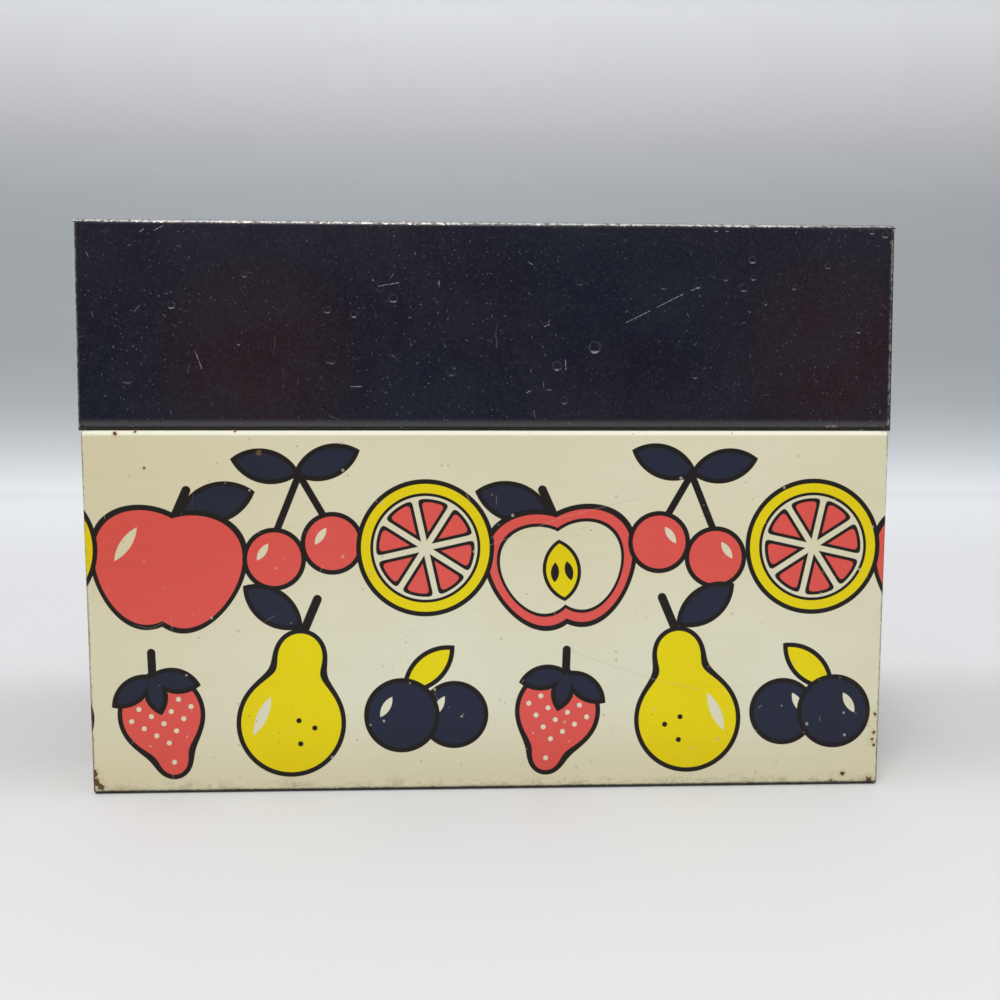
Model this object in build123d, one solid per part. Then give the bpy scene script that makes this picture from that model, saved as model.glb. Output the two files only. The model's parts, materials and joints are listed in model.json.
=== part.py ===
from build123d import *
import math
import os

# Recipe card box of folded tinplate, with its hinged lid closed.
# X runs left to right, Y from front to back and Z up. The origin is the centre of the base.

# ---- Driving dimensions, in millimetres ----
LID_WIDTH = 136.5  # across the lid
LID_DEPTH = 92.0  # over the lid, front to back
HEIGHT = 95.8  # base to top of the closed lid
SEAM_HEIGHT = 61.2  # lower edge of the closed lid, at its ends and its back
FLAP_RISE = 0.4  # the lid's front edge is this much higher
SHEET = 0.3  # thickness of the tinplate
FOLD_RADIUS = 1.1  # outside radius of the long folds
LID_OVERHANG = 0.45  # how far the lid stands out from the body all round
BODY_TAPER = 0.85  # how far each end of the body leans in towards the base
FLANGE = 8.0  # width of the flanges round the pressed ends
HEM_HEIGHT = 3.0  # height of the folded hems
HEM_SETBACK = 1.0  # a wrap's hem stops this far short of its side edge
END_HEM_SETBACK = 4.0  # an end's hem stops this far short of its corners
FLAP_CORNER = 0.6  # radius of the lid flap's lower corners
FLUSH_GAP = 0.1  # where a wrap's side edge runs on to the end's face, it stops this far short
TOP_LIP = 0.5  # height of the strips beside the lid's top where its sheet runs on so far

SHOULDER_RISE = 0.2  # the body's front shoulder above the lid's front edge, which closes over it
LEDGE_GAP = 0.25  # lid edge above the ledge along the body's back
CREASE_RADIUS = 0.1  # inside radius where the shoulder turns up into the neck
NECK_RISE = 6.5  # neck above the lid's lower edge
NECK_GAP = 0.5  # lid hem to neck, enough for the hem to swing past the neck's top
NECK_END_GAP = 4.0  # the side necks stop this far short of the back wall
NECK_END_CORNER = 3.0  # radius of their upper rear corners

WIRE_RADIUS = 0.7  # hinge wire
WIRE_CLEARANCE = 0.05  # wire to the rolled sheet, a running fit
HINGE_END = 11.0  # end of the lid to the end of its rolled edge
OUTER_ROLL = 14.0  # length of the lid's outer rolls
LOOP_WIDTH = 16.0  # width of the body's hinge loops
LOOP_GAP = 0.3  # a loop to the rolls beside it and to the notch above it
ROLL_ANGLE = 280.0  # how far round the wire the sheet is rolled
LEDGE_FOLD = 0.5  # outside radius of the fold below the hinge, which stops the open lid
LEDGE_CREASE = 0.2  # inside radius where that ledge turns up into a loop
HINGE_RELIEF = 2.0  # length of the cut-away lower rear corners of the lid
RELIEF_RISE = 0.2  # top of those corners above the hinge axis

# ---- Worked out from them ----
lid_half = LID_WIDTH / 2
lid_back = LID_DEPTH / 2
lid_front = -lid_back
body_half = lid_half - LID_OVERHANG
body_back = lid_back - LID_OVERHANG
body_front = -body_back

# The pressed ends nest inside the wraps, so their corners are one sheet tighter than the folds.
# The lid's flap stops where the corner of the end begins.
corner = FOLD_RADIUS - SHEET
flap_half = lid_half - corner

# A hem folds back on itself with room for one more sheet, the flange of the end.
hem_radius = 1.5 * SHEET
hem_depth = 2 * hem_radius
hem_drop = HEM_HEIGHT - hem_radius
lid_edge = SEAM_HEIGHT + hem_radius
flap_low = SEAM_HEIGHT + FLAP_RISE
flap_edge = flap_low + hem_radius

neck_inset = hem_depth + NECK_GAP - LID_OVERHANG
neck_half = body_half - neck_inset
neck_front = body_front + neck_inset
neck_end = body_back - NECK_END_GAP
neck_edge = SEAM_HEIGHT + NECK_RISE - hem_radius

# The ends reach up under the ledge of the wrap's back.
ledge_top = SEAM_HEIGHT - LEDGE_GAP
end_top = ledge_top - SHEET
end_foot = end_top - corner

# From the side, the shoulder is two arcs between the front wall and the neck.
shoulder_reach = CREASE_RADIUS + FOLD_RADIUS
shoulder_turn = math.degrees(math.acos(1 - neck_inset / shoulder_reach))
shoulder_top = flap_low + SHOULDER_RISE
shoulder_foot = shoulder_top - shoulder_reach * math.sin(math.radians(shoulder_turn))
shoulder_half = flap_half - LEDGE_GAP

roll_inside = WIRE_RADIUS + WIRE_CLEARANCE
roll_outside = roll_inside + SHEET
axis_y = lid_back - roll_outside
axis_z = SEAM_HEIGHT + roll_outside
roll_half = lid_half - HINGE_END
loop_outer = roll_half - OUTER_ROLL
loop_inner = loop_outer - LOOP_WIDTH
ledge_end = axis_y - roll_inside + LEDGE_CREASE
notch_top = axis_z + roll_outside + LOOP_GAP
relief_top = axis_z + RELIEF_RISE

BEYOND = 5.0  # how far a cutting block runs past what it cuts


def body_side(height):
    """Outer face of the body's right end, which leans in towards the base."""
    return body_half - BODY_TAPER * (1 - height / end_top)


def strip(start, heading, moves):
    """Section of a folded strip, drawn along one face with the sheet on its left.

    A run is ("run", length) and a turn is ("turn", degrees, radius of the drawn face),
    with left turns positive.
    """
    point = Vector(*start)
    drawn = []
    other = []
    for kind, amount, *radius in moves:
        ahead = Vector(1, 0).rotate(Axis.Z, heading)
        left = ahead.rotate(Axis.Z, 90)
        if kind == "run":
            end = point + ahead * amount
            drawn.append(Line(point, end))
            other.append(Line(point + left * SHEET, end + left * SHEET))
        else:
            side = math.copysign(1, amount)
            centre = point + left * side * radius[0]
            first = heading - 90 * side
            drawn.append(CenterArc(centre, radius[0], first, amount))
            other.append(CenterArc(centre, radius[0] - side * SHEET, first, amount))
            heading += amount
        point = drawn[-1] @ 1
    near = Line(drawn[0] @ 0, other[0] @ 0)
    far = Line(drawn[-1] @ 1, other[-1] @ 1)
    return make_face([*drawn, *other, near, far])


def along_x(section, low, high):
    """Solid of a section in the Y-Z plane, from low to high along X."""
    return extrude(Plane.YZ.offset(low) * section, high - low)


def along_y(section, low, high):
    """Solid of a section in the X-Z plane, from low to high along Y."""
    return extrude(Plane.XZ.offset(-high) * section, high - low)


def block(x, y, z):
    """Box between a low and a high limit on each axis."""
    limits = (x, y, z)
    size = [high - low for low, high in limits]
    middle = [(low + high) / 2 for low, high in limits]
    return Pos(*middle) * Box(*size)


def both_sides(solid):
    """A feature and its mirror image across the middle of the box."""
    return solid + mirror(solid, Plane.YZ)


def pressed(solid, radius, *open_faces):
    """Rounds all the edges of a hull except those on its open faces."""
    open_edges = [edge for face in open_faces for edge in face.edges()]
    kept = [e for e in solid.edges() if not any(e.is_same(o) for o in open_edges)]
    return fillet(kept, radius)


def mirrored_view(*right):
    """Face of the X-Z plane whose right edge is given and whose left edge mirrors it."""
    left = [(-x, z) for x, z in reversed(right)]
    return make_face(Polyline(*right, *left, close=True))


def body_wrap():
    """Front, floor and back of the body, with the neck in front and hinge loops behind."""
    section = strip(
        (neck_front, neck_edge),
        -90,
        [
            ("run", neck_edge - shoulder_top),
            ("turn", -shoulder_turn, CREASE_RADIUS),
            ("turn", shoulder_turn, FOLD_RADIUS),
            ("run", shoulder_foot - FOLD_RADIUS),
            ("turn", 90, FOLD_RADIUS),
            ("run", 2 * (body_back - FOLD_RADIUS)),
            ("turn", 90, FOLD_RADIUS),
            ("run", ledge_top - LEDGE_FOLD - FOLD_RADIUS),
            ("turn", 90, LEDGE_FOLD),
            ("run", body_back - LEDGE_FOLD - ledge_end),
        ],
    )
    foot = (body_side(0) - FLUSH_GAP, 0)
    head = (body_half - FLUSH_GAP, ledge_top)
    neck = neck_half - corner
    front_view = mirrored_view(
        foot,
        head,
        (shoulder_half, ledge_top),
        (shoulder_half, shoulder_top),
        (neck, shoulder_top),
        (neck, neck_edge),
    )
    back_view = mirrored_view(foot, head)
    outline = along_y(front_view, body_front, 0) + along_y(back_view, 0, body_back)
    wrap = along_x(section, -body_half, body_half) & outline

    hem = strip(
        (neck_front + SHEET, neck_edge),
        90,
        [("turn", -180, hem_radius - SHEET), ("run", hem_drop)],
    )
    wrap += along_x(hem, HEM_SETBACK - neck, neck - HEM_SETBACK)

    loop = strip(
        (ledge_end, ledge_top),
        180,
        [
            ("turn", -90, LEDGE_CREASE),
            ("run", axis_z - ledge_top - LEDGE_CREASE),
            ("turn", -ROLL_ANGLE, roll_inside),
        ],
    )
    wrap += both_sides(along_x(loop, loop_inner, loop_outer))
    return wrap


def body_end():
    """Pressed right end of the body, with flanges in front, below and behind."""
    hull_view = Polyline(
        (0, SHEET),
        (body_side(SHEET), SHEET),
        (body_half, end_top),
        (0, end_top),
        close=True,
    )
    hollow_view = Polyline(
        (0, 2 * SHEET),
        (body_side(2 * SHEET) - SHEET, 2 * SHEET),
        (body_half - SHEET, end_top - SHEET),
        (0, end_top - SHEET),
        close=True,
    )
    hull = along_y(make_face(hull_view), body_front + SHEET, body_back - SHEET)
    hull = pressed(hull, corner, hull.faces().sort_by(Axis.X)[0])
    hollow = along_y(make_face(hollow_view), body_front + 2 * SHEET, body_back - 2 * SHEET)
    hollow = pressed(hollow, corner - SHEET, hollow.faces().sort_by(Axis.X)[0])

    neck = block((0, neck_half), (neck_front + SHEET, neck_end), (end_foot, neck_edge))
    neck_rear = neck.edges().filter_by(Axis.X).group_by(Axis.Y)[-1].sort_by(Axis.Z)[-1]
    neck = fillet(neck_rear, NECK_END_CORNER)
    neck_corner = neck.edges().filter_by(Axis.Z).group_by(Axis.X)[-1].sort_by(Axis.Y)[0]
    neck = fillet(neck_corner, corner)
    mouth = block(
        (0, neck_half - SHEET),
        (neck_front + 2 * SHEET, body_back - neck_inset - 2 * SHEET),
        (end_foot, neck_edge + BEYOND),
    )
    mouth_corners = mouth.edges().filter_by(Axis.Z).group_by(Axis.X)[-1]
    mouth = fillet(mouth_corners, corner - SHEET)

    end = (hull + neck) - (hollow + mouth)
    end &= block(
        (body_half - FLANGE, body_half),
        (body_front, body_back),
        (0, neck_edge + BEYOND),
    )
    hem = strip((neck_half, neck_edge), 90, [("turn", 180, hem_radius), ("run", hem_drop)])
    end += along_y(hem, neck_front + END_HEM_SETBACK, neck_end - END_HEM_SETBACK)
    return end


def lid_wrap():
    """Front, top and back of the lid, with a hem in front and rolls for the hinge behind."""
    section = strip(
        (lid_back, axis_z),
        90,
        [
            ("run", HEIGHT - FOLD_RADIUS - axis_z),
            ("turn", 90, FOLD_RADIUS),
            ("run", LID_DEPTH - 2 * FOLD_RADIUS),
            ("turn", 90, FOLD_RADIUS),
            ("run", HEIGHT - FOLD_RADIUS - flap_low),
        ],
    )
    hem_half = flap_half - HEM_SETBACK
    back_skirt = (lid_back - FOLD_RADIUS, lid_back)
    top_half = lid_half - FLUSH_GAP
    top = block((-top_half, top_half), (lid_front, lid_back), (HEIGHT - TOP_LIP, HEIGHT))
    wrap = along_x(section, -flap_half, flap_half)
    wrap += along_x(section, -top_half, top_half) & top
    wrap -= block((-hem_half, hem_half), (lid_front, 0), (flap_low, flap_edge))
    wrap -= both_sides(
        block((loop_inner - LOOP_GAP, loop_outer + LOOP_GAP), back_skirt, (axis_z, notch_top))
    )
    wrap -= both_sides(block((roll_half, flap_half), back_skirt, (axis_z, relief_top)))

    hem = strip(
        (lid_front, flap_edge),
        -90,
        [("turn", 180, hem_radius), ("run", hem_drop)],
    )
    wrap += along_x(hem, -hem_half, hem_half)

    roll_view = strip((lid_back - SHEET, axis_z), -90, [("turn", -ROLL_ANGLE, roll_inside)])
    wrap += along_x(roll_view, LOOP_GAP - loop_inner, loop_inner - LOOP_GAP)
    wrap += both_sides(along_x(roll_view, loop_outer + LOOP_GAP, roll_half))

    front_corners = wrap.edges().filter_by(Axis.Y).group_by(Axis.Z)[0]
    outer_corners = front_corners.filter_by(lambda edge: abs(edge.center().X) > hem_half)
    return fillet(outer_corners, FLAP_CORNER)


def lid_end():
    """Pressed right end of the lid, with flanges in front, above and behind."""
    hull = block(
        (0, lid_half),
        (lid_front + SHEET, lid_back - SHEET),
        (SEAM_HEIGHT, HEIGHT - SHEET),
    )
    hull = pressed(hull, corner, hull.faces().sort_by(Axis.X)[0], hull.faces().sort_by(Axis.Z)[0])
    hollow = block(
        (0, lid_half - SHEET),
        (lid_front + 2 * SHEET, lid_back - 2 * SHEET),
        (SEAM_HEIGHT, HEIGHT - 2 * SHEET),
    )
    hollow = pressed(
        hollow,
        corner - SHEET,
        hollow.faces().sort_by(Axis.X)[0],
        hollow.faces().sort_by(Axis.Z)[0],
    )
    end = hull - hollow
    end &= block((lid_half - FLANGE, lid_half), (lid_front, lid_back), (SEAM_HEIGHT, HEIGHT))

    hem_ends = (lid_front + END_HEM_SETBACK, lid_back - END_HEM_SETBACK)
    end -= block((0, flap_half), (lid_front, 0), (SEAM_HEIGHT, flap_edge))
    end -= block((0, lid_half), hem_ends, (SEAM_HEIGHT, lid_edge))
    end -= block((0, lid_half), (lid_back - HINGE_RELIEF, lid_back), (SEAM_HEIGHT, relief_top))

    hem = strip(
        (lid_half - SHEET, lid_edge),
        -90,
        [("turn", -180, hem_radius - SHEET), ("run", hem_drop)],
    )
    end += along_y(hem, *hem_ends)
    return end


def hinge_pin():
    """Straight wire through the loops and rolls."""
    return Pos(0, axis_y, axis_z) * Rot(0, 90, 0) * Cylinder(WIRE_RADIUS, 2 * roll_half)


right_body_end = body_end()
right_lid_end = lid_end()
parts = {
    "body_wrap": body_wrap(),
    "body_left_end": mirror(right_body_end, Plane.YZ),
    "body_right_end": right_body_end,
    "lid_wrap": lid_wrap(),
    "lid_left_end": mirror(right_lid_end, Plane.YZ),
    "lid_right_end": right_lid_end,
    "hinge_pin": hinge_pin(),
}

os.makedirs("parts", exist_ok=True)
for name, shape in parts.items():
    export_step(shape.solid(), f"parts/{name}.step")
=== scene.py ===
# %% [markdown]
# # A tin recipe card box
# The box is folded from thin printed tinplate: a cream body with a bold print, and a nearly black
# lid that tips back on a wire hinge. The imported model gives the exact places. Here each sheet is
# modelled again as a sheet metal worker would fold it, and then it gets its print and its wear.

import json
import math

import bmesh
import bpy
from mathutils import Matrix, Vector


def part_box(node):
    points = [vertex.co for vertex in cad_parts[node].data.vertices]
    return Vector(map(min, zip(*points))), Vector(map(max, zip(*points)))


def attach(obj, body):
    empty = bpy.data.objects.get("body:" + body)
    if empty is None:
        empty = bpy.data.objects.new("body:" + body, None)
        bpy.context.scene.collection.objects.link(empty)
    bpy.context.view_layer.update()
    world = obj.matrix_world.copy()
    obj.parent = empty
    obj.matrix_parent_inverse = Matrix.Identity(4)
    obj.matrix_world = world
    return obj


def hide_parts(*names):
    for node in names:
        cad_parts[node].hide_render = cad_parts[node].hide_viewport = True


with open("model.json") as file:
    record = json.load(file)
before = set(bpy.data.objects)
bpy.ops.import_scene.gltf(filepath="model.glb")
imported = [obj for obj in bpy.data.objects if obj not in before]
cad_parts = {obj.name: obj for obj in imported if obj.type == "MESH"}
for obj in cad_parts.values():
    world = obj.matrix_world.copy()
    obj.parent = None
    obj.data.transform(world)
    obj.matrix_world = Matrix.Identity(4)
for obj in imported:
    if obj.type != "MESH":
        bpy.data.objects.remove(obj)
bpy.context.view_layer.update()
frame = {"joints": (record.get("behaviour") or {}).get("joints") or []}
mm = 0.001

# %% [markdown]
# ## The sizes
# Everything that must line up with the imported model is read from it. What is left are the small
# sizes of folded sheet: its thickness, the radius of a fold and the height of a hem.

# %% Read the places from the model
lid_low, lid_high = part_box("lid_wrap")
body_low, body_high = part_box("body_wrap")
lid_end_low, lid_end_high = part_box("lid_right_end")
body_end_low, body_end_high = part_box("body_right_end")
wire_low, wire_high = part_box("hinge_pin")
hinge = next(j for j in frame["joints"] if j["name"] == "lid_hinge")
axis_y, axis_z = hinge["pos_m"][1:]

SHEET = 0.3 * mm
FOLD = 1.1 * mm
CORNER = FOLD - SHEET
HEM_RADIUS = 1.5 * SHEET
HEM_DROP = 2.55 * mm
HEM_SETBACK = 1.0 * mm
END_HEM_SETBACK = 4.0 * mm
CREASE = 0.1 * mm
LID_OVERHANG = 0.45 * mm
BODY_TAPER = 0.85 * mm
FLAP_RISE = 0.4 * mm
SHOULDER_RISE = 0.2 * mm
LEDGE_GAP = 0.25 * mm
FLUSH_GAP = 0.1 * mm
TOP_LIP = 0.5 * mm
LEDGE_FOLD = 0.5 * mm
LEDGE_CREASE = 0.2 * mm
LOOP_GAP = 0.3 * mm
OUTER_ROLL = 14.0 * mm
LOOP_WIDTH = 16.0 * mm
ROLL_DEGREES = 280
RELIEF_LENGTH = 2.0 * mm
RELIEF_RISE = 0.2 * mm

lid_half = lid_end_high[0]
top_half = lid_high[0]
flap_half = lid_half - CORNER
lid_front, lid_back = lid_low[1], lid_high[1]
seam, top = lid_low[2], lid_high[2]
body_half = body_end_high[0]
body_front = body_low[1]
body_back = -body_front
neck_top = body_high[2]
wire_radius = (wire_high[2] - wire_low[2]) / 2
roll_half = wire_high[0]
roll_outside = lid_back - axis_y
loop_outer = roll_half - OUTER_ROLL
loop_inner = loop_outer - LOOP_WIDTH
print("lid half width", round(lid_half / mm, 2), "seam", round(seam / mm, 2))

# %% [markdown]
# ## Tools for folding sheet
# A sheet starts as a box with some faces taken off. Its edges are then spun about a line, which is
# just what a folding machine does, and at the very end Solidify gives the sheet its thickness.

# %% Sheet folding helpers


def start_sheet(name, low, high):
    """A box primitive between two corners, open in edit mode, with its place in the mesh."""
    bpy.ops.object.select_all(action="DESELECT")
    middle = [(l + h) / 2 for l, h in zip(low, high)]
    size = [h - l for l, h in zip(low, high)]
    bpy.ops.mesh.primitive_cube_add(size=1, location=middle, scale=size)
    bpy.ops.object.transform_apply(location=True, rotation=True, scale=True)
    sheet = bpy.context.object
    sheet.name = name
    sheet.data.name = name
    bpy.ops.object.mode_set(mode="EDIT")
    return sheet


def pick(kind, test):
    """Selects the faces, edges or points whose place and direction pass a test."""
    bpy.ops.mesh.select_mode(type=kind)
    bpy.ops.mesh.select_all(action="DESELECT")
    mesh = bmesh.from_edit_mesh(bpy.context.object.data)
    for item in {"FACE": mesh.faces, "EDGE": mesh.edges, "VERT": mesh.verts}[kind]:
        if kind == "FACE":
            chosen = test(item.calc_center_median(), item.normal)
        elif kind == "EDGE":
            a, b = (vertex.co for vertex in item.verts)
            chosen = test((a + b) / 2, (b - a).normalized())
        else:
            chosen = test(item.co, item.normal)
        if chosen:
            item.select_set(True)
    bmesh.update_edit_mesh(bpy.context.object.data)


def near(value, place, reach=0.05 * mm):
    """True where a coordinate lies at a place."""
    return abs(value - place) < reach


def remove_faces(test):
    """Takes faces off the sheet."""
    pick("FACE", test)
    bpy.ops.mesh.delete(type="FACE")


def cut(test, axis, *places):
    """Cuts the chosen faces along planes square to an axis."""
    for place in places:
        pick("FACE", test)
        point = [0, 0, 0]
        normal = [0, 0, 0]
        point[axis] = place
        normal[axis] = 1
        bpy.ops.mesh.bisect(plane_co=point, plane_no=normal)


def fold(degrees, centre, axis=(1, 0, 0), steps=8):
    """Carries the selected edges round a line, leaving the folded sheet behind them."""
    bpy.ops.mesh.spin(steps=steps, angle=-math.radians(degrees), center=centre, axis=axis)


def draw_out(x=0, y=0, z=0):
    """Extends the sheet straight on from the selected edges."""
    bpy.ops.mesh.extrude_region_move(TRANSFORM_OT_translate={"value": (x, y, z)})


def round_edges(radius, steps=6):
    """Gives the selected sharp folds a radius."""
    bpy.ops.mesh.bevel(
        offset=radius, offset_type="OFFSET", segments=steps, profile=0.5, affect="EDGES"
    )


def finish_sheet(sheet, outside_point, coats):
    """Turns the outside out, gives the sheet its finishes and thickness and shades it smooth."""
    bpy.ops.mesh.select_all(action="SELECT")
    bpy.ops.mesh.remove_doubles(threshold=0.002 * mm)
    bpy.ops.mesh.normals_make_consistent(inside=False)
    mesh = bmesh.from_edit_mesh(sheet.data)
    point = Vector(outside_point)
    face = min(mesh.faces, key=lambda f: (f.calc_center_median() - point).length)
    if face.normal.dot(point - face.calc_center_median()) < 0:
        bpy.ops.mesh.flip_normals()
    bpy.ops.object.mode_set(mode="OBJECT")
    for coat in coats:
        sheet.data.materials.append(coat)
    thickness = sheet.modifiers.new("sheet", "SOLIDIFY")
    thickness.thickness = SHEET
    thickness.offset = -1
    thickness.use_even_offset = True
    thickness.material_offset = 1
    thickness.material_offset_rim = 2
    bpy.ops.object.modifier_apply(modifier="sheet")
    bpy.ops.object.shade_smooth_by_angle(angle=math.radians(35))
    print(sheet.name, "faces:", len(sheet.data.polygons))


# %% [markdown]
# ## Writing a finish as nodes
# A procedural finish is arithmetic on the place of a point. It could be clicked together in the
# shader editor. Here a small helper adds one node for each sum, so a finish reads from top to
# bottom. Places are turned into millimetres first, so that every number is a size on the tin.

# %% Node helpers


def shade(red, green, blue):
    """A colour written as it looks on a screen, 0 to 255, turned into the linear one."""
    return (*(((c / 255 + 0.055) / 1.055) ** 2.4 if c > 10 else c / 3295 for c in (red, green, blue)), 1)


class Tree:
    """Writes a node tree: each call adds a node, joins what it is given and returns an output."""

    def __init__(self, tree):
        self.tree = tree

    def add(self, kind, *values, **settings):
        node = self.tree.nodes.new("ShaderNode" + kind)
        for name, value in settings.items():
            setattr(node, name, value)
        for socket, value in zip(node.inputs, values):
            self.join(value, socket)
        return node

    def join(self, value, socket):
        if isinstance(value, bpy.types.NodeSocket):
            self.tree.links.new(value, socket)
        elif value is not None:
            socket.default_value = value

    def sum(self, operation, *values):
        return self.add("Math", *values, operation=operation).outputs[0]

    def vector(self, operation, *values):
        node = self.add("VectorMath", *values, operation=operation)
        single = operation in ("LENGTH", "DISTANCE", "DOT_PRODUCT")
        return node.outputs["Value" if single else "Vector"]

    def scaled(self, vector, factor):
        return self.vector("MULTIPLY", vector, (factor, factor, factor))

    def ramp(self, value, low, high, start=0.0, end=1.0):
        node = self.add("MapRange", value, low, high, start, end, interpolation_type="SMOOTHSTEP")
        return node.outputs[0]

    def mix(self, factor, first, second, blend="MIX"):
        node = self.add("Mix", factor, data_type="RGBA", blend_type=blend)
        self.join(first, node.inputs[6])
        self.join(second, node.inputs[7])
        return node.outputs[2]

    def noise(self, at, scale, detail=2.0, roughness=0.5):
        return self.add("TexNoise", at, None, scale, detail, roughness).outputs[0]

    def parts(self, vector):
        return self.add("SeparateXYZ", vector).outputs

    def use(self, group, **values):
        node = self.tree.nodes.new("ShaderNodeGroup")
        node.node_tree = group
        for name, value in values.items():
            self.join(value, node.inputs[name.replace("_", " ")])
        return node.outputs


def new_group(name, inputs, outputs):
    """A shader node group with named inputs and outputs."""
    group = bpy.data.node_groups.new(name, "ShaderNodeTree")
    for label, value in inputs.items():
        kind = "NodeSocketFloat" if isinstance(value, (int, float)) else "NodeSocketVector"
        group.interface.new_socket(label, in_out="INPUT", socket_type=kind).default_value = value
    for label, kind in outputs.items():
        group.interface.new_socket(label, in_out="OUTPUT", socket_type="NodeSocket" + kind)
    tree = Tree(group)
    start = group.nodes.new("NodeGroupInput").outputs
    end = group.nodes.new("NodeGroupOutput").inputs
    return group, tree, start, end


def new_finish(name):
    """A material with its tree, its shader and the place of each point in millimetres."""
    material = bpy.data.materials.new(name)
    material.use_nodes = True
    tree = Tree(material.node_tree)
    place = tree.scaled(tree.add("TexCoord").outputs["Object"], 1 / mm)
    return material, tree, material.node_tree.nodes["Principled BSDF"].inputs, place


# %% [markdown]
# ## Effects that all the finishes share
# Handling rubs the coat off the edges, keys and cards leave hairline scratches, and dust and pits
# leave specks. Each effect is one node group that puts out a mask, and every finish sets it in
# its own way.

# %% Edge wear
edge_wear, tree, given, made = new_group(
    "edge wear",
    {
        "Place": (0, 0, 0),
        "Centre": (0, 0, 0),
        "Half Size": (1, 1, 1),
        "Fold": 0.3,
        "Width": 0.3,
        "Patchy": 0.6,
        "Ragged": 0.6,
    },
    {"Wear": "Float", "Distance": "Float"},
)
offset = tree.vector("ABSOLUTE", tree.vector("SUBTRACT", given["Place"], given["Centre"]))
x, y, z = tree.parts(tree.vector("SUBTRACT", given["Half Size"], offset))
distance = tree.sum(
    "MAXIMUM", tree.sum("MINIMUM", x, y), tree.sum("MINIMUM", tree.sum("MAXIMUM", x, y), z)
)
patch = tree.ramp(tree.noise(given["Place"], 0.1, 3.0), 0.4, 0.6)
patch = tree.sum("MULTIPLY_ADD", tree.sum("SUBTRACT", patch, 1.0), given["Patchy"], 1.0)
fine = tree.sum("SUBTRACT", tree.noise(given["Place"], 1.7, 3.0, 0.65), 0.5)
reach = tree.sum("MULTIPLY_ADD", fine, tree.sum("MULTIPLY", given["Ragged"], 3.0), patch)
limit = tree.sum("MULTIPLY_ADD", given["Width"], reach, given["Fold"])
gap = tree.sum("SUBTRACT", distance, limit)
tree.join(tree.ramp(gap, 0.08, -0.08), made["Wear"])
tree.join(distance, made["Distance"])
print("edge wear nodes:", len(edge_wear.nodes))

# %% Scratches
scratches, tree, given, made = new_group(
    "scratches",
    {"Place": (0, 0, 0), "Spacing": 12.0, "Length": 2.0, "Width": 0.05, "Share": 0.4, "Wander": 0.3},
    {"Scratch": "Float"},
)
bent = tree.add("TexNoise", given["Place"], None, 0.12, 1.0).outputs["Color"]
bent = tree.vector("MULTIPLY", tree.vector("SUBTRACT", bent, (0.5, 0.5, 0.5)), (12, 12, 12))
bent = tree.vector("MULTIPLY_ADD", bent, given["Wander"], given["Place"])
cells = tree.add("TexVoronoi", tree.vector("DIVIDE", bent, given["Spacing"]), None, 1.0)
inside = tree.vector("MULTIPLY", cells.outputs["Position"], given["Spacing"])
inside = tree.vector("SUBTRACT", bent, inside)
lie = tree.vector("MULTIPLY", cells.outputs["Color"], (9, 9, 9))
turned = tree.add("VectorRotate", inside, rotation_type="EULER_XYZ")
tree.join(lie, turned.inputs["Rotation"])
x, y, z = tree.parts(tree.vector("ABSOLUTE", turned.outputs[0]))
chance, second, third = tree.parts(cells.outputs["Color"])
long = tree.sum("MULTIPLY", given["Length"], tree.sum("ADD", second, 0.3))
taper = tree.ramp(x, long, tree.sum("MULTIPLY", long, 0.3))
line = tree.ramp(z, given["Width"], 0.0)
kept = tree.sum("LESS_THAN", chance, given["Share"])
tree.join(tree.sum("MULTIPLY", tree.sum("MULTIPLY", line, taper), kept), made["Scratch"])
print("scratch nodes:", len(scratches.nodes))

# %% Specks and pits
specks, tree, given, made = new_group(
    "specks",
    {"Place": (0, 0, 0), "Spacing": 3.0, "Size": 0.15, "Share": 0.4},
    {"Speck": "Float"},
)
scattered = tree.vector("DIVIDE", given["Place"], given["Spacing"])
cells = tree.add("TexVoronoi", scattered, None, 1.0)
chance, height, depth = tree.parts(cells.outputs["Color"])
size = tree.sum("MULTIPLY", tree.sum("DIVIDE", given["Size"], given["Spacing"]), tree.sum("ADD", height, 0.4))
spot = tree.ramp(tree.sum("SUBTRACT", cells.outputs["Distance"], size), 0.02, -0.02)
kept = tree.sum("LESS_THAN", chance, given["Share"])
tree.join(tree.sum("MULTIPLY", spot, kept), made["Speck"])

# %% Dings
# A ding is a shallow round dent in the front. Its lower rim, which the light from above would catch, is drawn as a
# painted highlight.
ding, tree, given, made = new_group(
    "ding",
    {"Place": (0, 0, 0), "At": (0, 0, 0), "Radius": 0.9, "Strength": 1.0},
    {"Painted Highlight": "Float"},
)
radius = given["Radius"]
away = tree.vector("SUBTRACT", given["Place"], given["At"])
out = tree.sum("DIVIDE", tree.vector("LENGTH", away), radius)
below = tree.sum("DIVIDE", tree.vector("DOT_PRODUCT", away, (0, 0, 1)), radius)
rim = tree.sum("MULTIPLY", tree.ramp(out, 1.15, 0.95), tree.ramp(out, 0.7, 0.9))
foot = tree.sum("MULTIPLY", tree.ramp(out, 1.1, 0.9), tree.ramp(below, -0.45, -0.75))
mark = tree.sum("MULTIPLY_ADD", rim, 0.16, foot)
tree.join(tree.sum("MULTIPLY", mark, given["Strength"]), made["Painted Highlight"])

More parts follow.
